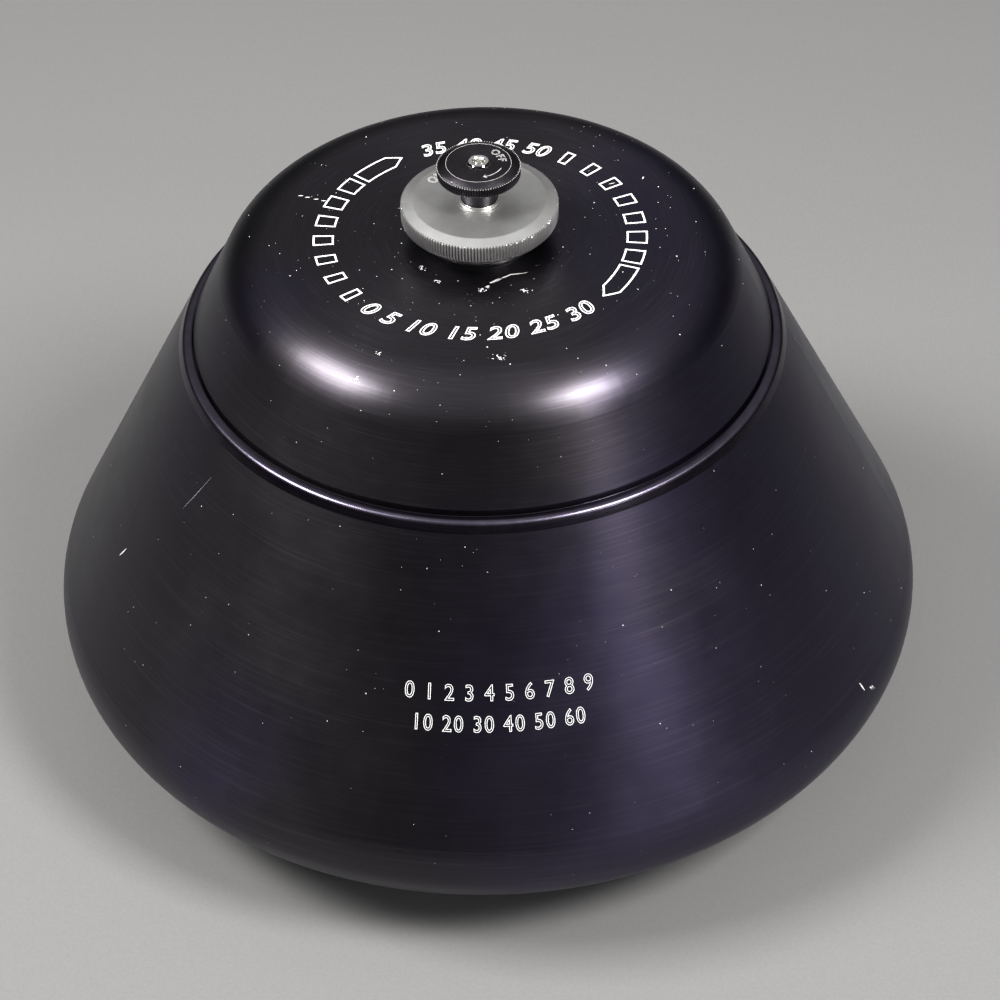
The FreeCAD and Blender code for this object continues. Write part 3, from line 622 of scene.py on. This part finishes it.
def body_wear():
    marks = Marks(lift=0.015)
    scatter(marks, BODY_SURFACE, 420, (6, 150), (0.14, 0.5))
    scratch(marks, BODY_SURFACE, [(-146, 16), (-150, 34)], 0.05)
    scratch(marks, BODY_SURFACE, [(-160, 68), (-161, 73)], 0.5)
    scratch(marks, BODY_SURFACE, [(-33, 110), (-32.6, 114)], 0.6)
    scuff(marks, BODY_SURFACE, -31, 116, 2.4)
    marks.build("body_wear", "rotor", BARE_METAL)


def grip_wear():
    """Nicks along the top edge of the lid knob's knurl, most of them at the front right."""
    edge = Surface([Vector((GRIP_BEVEL_RADIUS, GRIP_TOP)), Vector((GRIP_RADIUS, GRIP_KNURL_TOP)),
                    Vector((GRIP_RADIUS, GRIP_KNURL_BOTTOM))])
    marks = Marks(lift=0.03)
    scatter(marks, edge, 16, (3.7, 4.5), (0.3, 0.9), (-75, -25))
    scatter(marks, edge, 20, (3.8, 4.5), (0.25, 0.6))
    marks.build("grip_wear", "lid_knob", BARE_METAL)


def scuff(marks, surface, degrees, distance, size):
    """A patch of small chips and short scratches."""
    for _ in range(round(4 * size)):
        place = surface.spot(degrees, distance)
        across, along = chance.gauss(0, size / 2.2), chance.gauss(0, size / 3.2)
        chip = flake(chance.uniform(0.25, 0.6))
        marks.patch(place, [(x + across, y + along) for x, y in chip])
    turn = chance.uniform(0, 180)
    tilted = surface.spot(degrees, distance, turn)
    marks.ribbon(tilted, dense([(-size / 2, 0), (size / 5, 0.2), (size / 2, 0)], 0.6), 0.28)


def worn_edge(name, radius, height, thickness, body, material):
    """A thin line of worn finish along a turned edge."""
    def section(angle):
        return [(radius + thickness * math.cos(a), height + thickness * math.sin(a))
                for a in (0, TURN / 5, 2 * TURN / 5, 3 * TURN / 5, 4 * TURN / 5)]
    turned(name, section, 256, body, material)


# ---- the pieces that stand for CAD nodes ----

def make_lid_grip():
    lower = rounded([
        (SLEEVE_RADIUS, GRIP_POCKET_BOTTOM),
        (SLEEVE_RADIUS, GRIP_BOTTOM),
        (GRIP_HUB_RADIUS, GRIP_BOTTOM, 0.4),
        (GRIP_HUB_RADIUS, GRIP_DISC_HEIGHT, 0.8),
        (GRIP_COLLAR_RADIUS, GRIP_DISC_HEIGHT, 0.4),
        (GRIP_RADIUS, GRIP_KNURL_BOTTOM),
    ])[:-1]
    upper = rounded([
        (GRIP_RADIUS, GRIP_KNURL_TOP),
        (GRIP_BEVEL_RADIUS, GRIP_TOP, 1.2),
        (RING_RADIUS + 0.05, GRIP_DISH_HEIGHT, 0.25),
        (RING_RADIUS + 0.05, RING_BOTTOM),
        (GRIP_POCKET_RADIUS, RING_BOTTOM),
        (GRIP_POCKET_RADIUS, GRIP_POCKET_BOTTOM),
    ])[1:]
    bevel = (GRIP_TOP - GRIP_KNURL_TOP) / (GRIP_RADIUS - GRIP_BEVEL_RADIUS)
    flare = (GRIP_KNURL_BOTTOM - GRIP_DISC_HEIGHT) / (GRIP_RADIUS - GRIP_COLLAR_RADIUS)

    def section(angle):
        edge = knurl(angle, GRIP_RADIUS, GRIP_TEETH, GRIP_KNURL_DEPTH)
        cut = GRIP_RADIUS - edge
        rise = GRIP_KNURL_TOP + cut * bevel
        return lower + [
            (edge - 0.1, GRIP_KNURL_BOTTOM - (cut + 0.1) * flare),
            (edge, GRIP_KNURL_BOTTOM - cut * flare + 0.12),
            (edge, rise - 0.12),
            (edge - 0.12, rise + 0.04),
        ] + upper

    piece = turned("lid_grip", section, GRIP_TEETH * 10, "lid_knob", SLOTS["grey_anodised"])
    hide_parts("lid_knob")


def make_lock_grip():
    bevel = (LOCK_TOP - LOCK_EDGE_HEIGHT) / (LOCK_RADIUS - LOCK_BEVEL_RADIUS)
    upper = rounded([
        (LOCK_RADIUS, LOCK_EDGE_HEIGHT),
        (LOCK_BEVEL_RADIUS, LOCK_TOP, 0.3),
        (SCREW_RADIUS, LOCK_TOP, 0.2),
        (SCREW_RADIUS, LOCK_BOTTOM),
    ])[1:]

    def section(angle):
        edge = knurl(angle, LOCK_RADIUS, LOCK_TEETH, LOCK_KNURL_DEPTH)
        rise = LOCK_EDGE_HEIGHT + (LOCK_RADIUS - edge) * bevel
        return [
            (edge - 0.25, LOCK_BOTTOM),
            (edge, LOCK_BOTTOM + 0.2),
            (edge, rise - 0.1),
            (edge - 0.1, rise + 0.03),
        ] + upper

    piece = turned("lock_grip", section, LOCK_TEETH * 10, "lock_knob",
                   SLOTS["black_anodised_small"])
    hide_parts("lock_knob")


def make_gland():
    outline = rounded([
        (STEM_RADIUS + 0.05, RING_BOTTOM),
        (RING_RADIUS, RING_BOTTOM),
        (RING_RADIUS, RING_BOTTOM + 2.55, 0.2),
        (RING_RADIUS - 0.28, RING_BOTTOM + 2.7),
        (RING_RADIUS - 0.12, RING_BOTTOM + 3.0, 0.12),
        (RING_RADIUS - 0.42, RING_TOP - 0.2, 0.15),
        (STEM_RADIUS + 0.05, RING_TOP, 0.15),
    ])
    piece = turned("gland", lambda angle: outline, 160, "lid_knob", SLOTS["bright_steel"])
    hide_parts("gland_ring")


def make_lock_bolt():
    """Long screw with a threaded tip and a chamfered hexagonal end with a centre hole."""
    apothem = SCREW_HEX_RADIUS * math.cos(math.pi / 6)
    thread_top = SCREW_BOTTOM + SCREW_THREAD_LENGTH
    rows = round(SCREW_THREAD_LENGTH / SCREW_PITCH * 8)
    hole_floor = SCREW_TOP - SCREW_HOLE_DEPTH

    def section(angle):
        points = [(0, SCREW_BOTTOM), (SCREW_RADIUS - 0.9, SCREW_BOTTOM)]
        for row in range(1, rows):
            height = SCREW_BOTTOM + SCREW_THREAD_LENGTH * row / rows
            deep = 0.62 * min(1, (thread_top - height) / 2)
            blunt = SCREW_RADIUS - 0.9 + height - SCREW_BOTTOM
            points.append((min(blunt, thread(angle, height, SCREW_RADIUS, SCREW_PITCH, deep)), height))
        turn = (angle + math.pi / 6) % (math.pi / 3) - math.pi / 6
        flat = apothem / math.cos(math.pi / 6 - abs(turn))
        chamfer = apothem + 0.12
        return points + [
            (SCREW_RADIUS, thread_top),
            (SCREW_RADIUS, SCREW_SHOULDER),
            (flat, SCREW_SHOULDER),
            (flat, SCREW_TOP - 0.1 - max(0, flat - chamfer) * 0.6),
            (min(flat, chamfer), SCREW_TOP),
            (SCREW_HOLE_RADIUS + 0.3, SCREW_TOP),
            (SCREW_HOLE_RADIUS, SCREW_TOP - 0.3),
            (SCREW_HOLE_RADIUS, hole_floor),
            (0, hole_floor - 1),
        ]

    piece = turned("lock_bolt", section, 96, "lock_knob", SLOTS["bright_steel"], sharp=25)
    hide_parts("lock_screw")


def make_tower_stud():
    """Hollow stud with a root in the tower, a shoulder, and the thread for the lid's sleeve."""
    shoulder_radius, root_radius, bush_radius, bore_radius = 13.0, 10.0, 7.0, 5.0
    shoulder_bottom, shoulder_top, bush_top = 135.0, 140.0, top("guide_bush")
    relief = shoulder_top + 1.5
    rows = round((STUD_TOP - relief) / STUD_PITCH * 8)
    inner = rounded([
        (STUD_RADIUS - 0.8, STUD_TOP),
        (bore_radius, STUD_TOP, 0.3),
        (bore_radius, bush_top),
        (bush_radius, bush_top),
        (bush_radius, STUD_BOTTOM),
        (root_radius, STUD_BOTTOM),
        (root_radius, shoulder_bottom),
        (shoulder_radius, shoulder_bottom),
        (shoulder_radius, shoulder_top, 0.4),
        (STUD_RADIUS - 0.9, shoulder_top),
        (STUD_RADIUS - 0.9, relief - 0.3),
    ])

    def section(angle):
        points = []
        for row in range(rows):
            height = relief + (STUD_TOP - relief) * row / rows
            blunt = STUD_RADIUS - 0.8 + STUD_TOP - height
            points.append((min(blunt, thread(angle, height, STUD_RADIUS, STUD_PITCH, 0.8)), height))
        return points + inner

    piece = turned("tower_stud", section, 128, "rotor", SLOTS["steel"], sharp=25)
    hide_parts("lid_stud")


def make_rim_lip():
    """The polished lip that the lid's edge has rubbed round the rim: a thin skin over its rounding."""
    skin, depth, down = 0.03, 0.6, 4.0
    slope = Vector((CORNER_RADIUS - RIM_RADIUS, CORNER_HEIGHT - RIM_HEIGHT)).normalized()
    out = Vector((-slope.y, slope.x))
    lower = Vector((RIM_RADIUS, RIM_HEIGHT)) + slope * down
    inner = SEAT_RADIUS + 0.5
    outline = rounded([
        (inner, RIM_HEIGHT - depth),
        tuple(lower - out * depth),
        tuple(lower + out * skin),
        (RIM_RADIUS + skin / 2, RIM_HEIGHT + skin, RIM_ROUND),
        (inner, RIM_HEIGHT + skin),
    ], 8)
    turned("rim_lip", lambda angle: outline, 512, "rotor", WORN_BLACK)


def make_tooth_tips():
    """Bare spots where the black finish has worn off the tops of the small knob's teeth."""
    def section(angle):
        edge = knurl(angle, LOCK_RADIUS, LOCK_TEETH, LOCK_KNURL_DEPTH)
        middle = LOCK_RADIUS - 0.04 - 3 * (LOCK_RADIUS - edge)
        return [(middle + 0.14 * math.cos(a), LOCK_EDGE_HEIGHT - 0.04 + 0.14 * math.sin(a))
                for a in (0, TURN / 5, 2 * TURN / 5, 3 * TURN / 5, 4 * TURN / 5)]
    turned("tooth_tips", section, LOCK_TEETH * 10, "lock_knob", BARE_METAL)


def knob_marks():
    """Plain words and arrows that say which way each knob locks."""
    lock_surface = Surface([Vector((0, LOCK_TOP)), Vector((LOCK_BEVEL_RADIUS, LOCK_TOP))])
    marks = Marks(lift=0.02)
    write(marks, lock_surface.spot(29, 8.1, 180), "OFF", (2.7, 7.0), 0.09, spacing=1.2)
    arrow = [(math.radians(a) * 8.2, 0) for a in range(0, -56, -5)]
    place = lock_surface.spot(-24, 8.2)
    marks.ribbon(place, arrow, 0.15)
    marks.ribbon(place, [(arrow[-1][0] + 0.9, 0.8), arrow[-1], (arrow[-1][0] + 0.9, -0.8)], 0.15)
    marks.build("lock_marks", "lock_knob", BARE_METAL)

    slope = rounded([(RING_RADIUS, GRIP_DISH_HEIGHT), (GRIP_BEVEL_RADIUS, GRIP_TOP)])
    grip_surface = Surface(slope)
    marks = Marks(lift=0.03)
    write(marks, grip_surface.spot(139, 12.2, 180), "ON", (3.4, 6.4), 0.2, spacing=1.2)
    marks.build("grip_marks", "lid_knob", BARE_METAL)


# ---- floor, light and camera ----

def make_floor():
    """A grey floor whose colour darkens away from the object: painted shade in place of the lights'
    falloff.
    """
    mesh = bpy.data.meshes.new("floor")
    half = 12.0
    corners = [(-half, -half), (half, -half), (half, half), (-half, half)]
    mesh.from_pydata([(x, y, -0.0002) for x, y in corners], [], [(0, 1, 2, 3)])
    floor = bpy.data.objects.new("floor", mesh)
    bpy.context.scene.collection.objects.link(floor)
    paint = Paint("floor", Roughness=0.85)
    grain = paint.noise(paint.place, 900.0, 3.0, 0.7)
    away = paint.node("ShaderNodeVectorMath", {0: paint.place}, operation="LENGTH").outputs["Value"]
    # Painted shade: the floor's colour darkens with distance from the object, in place of the lights'
    # falloff.
    plain = paint.blend(paint.stretch(away, 0.25, 1.5), shade(0.152, 0.149, 0.145),
                        shade(0.1, 0.098, 0.096))
    paint.feed(paint.shader, {
        "Base Color": paint.blend(paint.stretch(grain, 0.3, 0.7, 0.0, 0.25), plain,
                                  shade(0.09, 0.088, 0.086)),
    })
    paint.bump(grain, 0.0001, 0.4)
    mesh.materials.append(paint.material)
    floor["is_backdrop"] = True


LIGHT_AIM = Vector((0, 0, 0.17))


def soft_box(name, azimuth, elevation, distance, width, height, watts, colour=(1, 1, 1)):
    """A rectangular light that faces the lid. Azimuth 0 is the camera's side, 90 is +X."""
    turn, rise = math.radians(azimuth), math.radians(elevation)
    away = Vector((math.sin(turn) * math.cos(rise), -math.cos(turn) * math.cos(rise), math.sin(rise)))
    light = bpy.data.lights.new(name, "AREA")
    light.shape, light.size, light.size_y = "RECTANGLE", width, height
    light.energy, light.color = watts, colour
    lamp = bpy.data.objects.new(name, light)
    lamp.location = LIGHT_AIM + away * distance
    lamp.rotation_euler = away.to_track_quat("Z", "Y").to_euler()
    bpy.context.scene.collection.objects.link(lamp)


def make_lights():
    soft_box("left_box", -80, 48, 1.5, 0.62, 0.46, 43)
    soft_box("right_box", 51, 48, 1.5, 0.44, 0.46, 40)
    soft_box("low_box", 42, 21, 1.3, 0.18, 0.24, 2.5, (0.97, 0.96, 1.0))
    world = bpy.data.worlds.new("studio")
    world.use_nodes = True
    tree = world.node_tree
    place = tree.nodes.new("ShaderNodeTexCoord")
    split = tree.nodes.new("ShaderNodeSeparateXYZ")
    tree.links.new(place.outputs["Generated"], split.inputs[0])
    sky = tree.nodes.new("ShaderNodeValToRGB")
    for height in (0.3, 0.65):
        sky.color_ramp.elements.new(height)
    for stop, level in zip(sky.color_ramp.elements, (0.01, 0.06, 0.48, 0.92)):
        stop.color = (level, level, level * 1.03, 1)
    tree.links.new(split.outputs[2], sky.inputs[0])
    tree.links.new(sky.outputs[0], tree.nodes["Background"].inputs["Color"])
    bpy.context.scene.world = world


CAMERA_PLACE = Vector((0, -0.8165, 0.8072))
CAMERA_PITCH, CAMERA_YAW, CAMERA_ROLL = 0.7321, 0.0060, -0.0201
CAMERA_LENS = 108.17


def make_camera():
    """The camera looks down on the rotor from the front; pitch, yaw and roll are in radians."""
    level = math.cos(CAMERA_PITCH)
    ahead = Vector((math.sin(CAMERA_YAW) * level, math.cos(CAMERA_YAW) * level, -math.sin(CAMERA_PITCH)))
    side = Vector((math.cos(CAMERA_YAW), -math.sin(CAMERA_YAW), 0))
    rise = side.cross(ahead)
    right = side * math.cos(CAMERA_ROLL) + rise * math.sin(CAMERA_ROLL)
    up = rise * math.cos(CAMERA_ROLL) - side * math.sin(CAMERA_ROLL)
    data = bpy.data.cameras.new("camera")
    data.lens, data.sensor_width = CAMERA_LENS, 36.0
    camera = bpy.data.objects.new("camera", data)
    turn = Matrix((right, up, -ahead)).transposed()
    camera.matrix_world = Matrix.Translation(CAMERA_PLACE) @ turn.to_4x4()
    bpy.context.scene.collection.objects.link(camera)
    bpy.context.scene.camera = camera


dress_cad_nodes()
make_lid_grip()
make_lock_grip()
make_gland()
make_lock_bolt()
make_tower_stud()
knob_marks()
lid_marks()
body_marks()
lid_wear()
body_wear()
grip_wear()
make_rim_lip()
make_tooth_tips()
worn_edge("rim_line", SEAT_RADIUS + 0.05, RIM_HEIGHT - 0.02, 0.1, "rotor", WORN_BLACK)
worn_edge("lock_line", LOCK_BEVEL_RADIUS, LOCK_TOP - 0.03, 0.05, "lock_knob", BARE_METAL)
make_floor()
make_lights()
make_camera()
bpy.context.scene.view_settings.view_transform = "Standard"

boxes = {"cad": cad_box, "visual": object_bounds()}
{name: [list(corner) for corner in box] for name, box in boxes.items()}
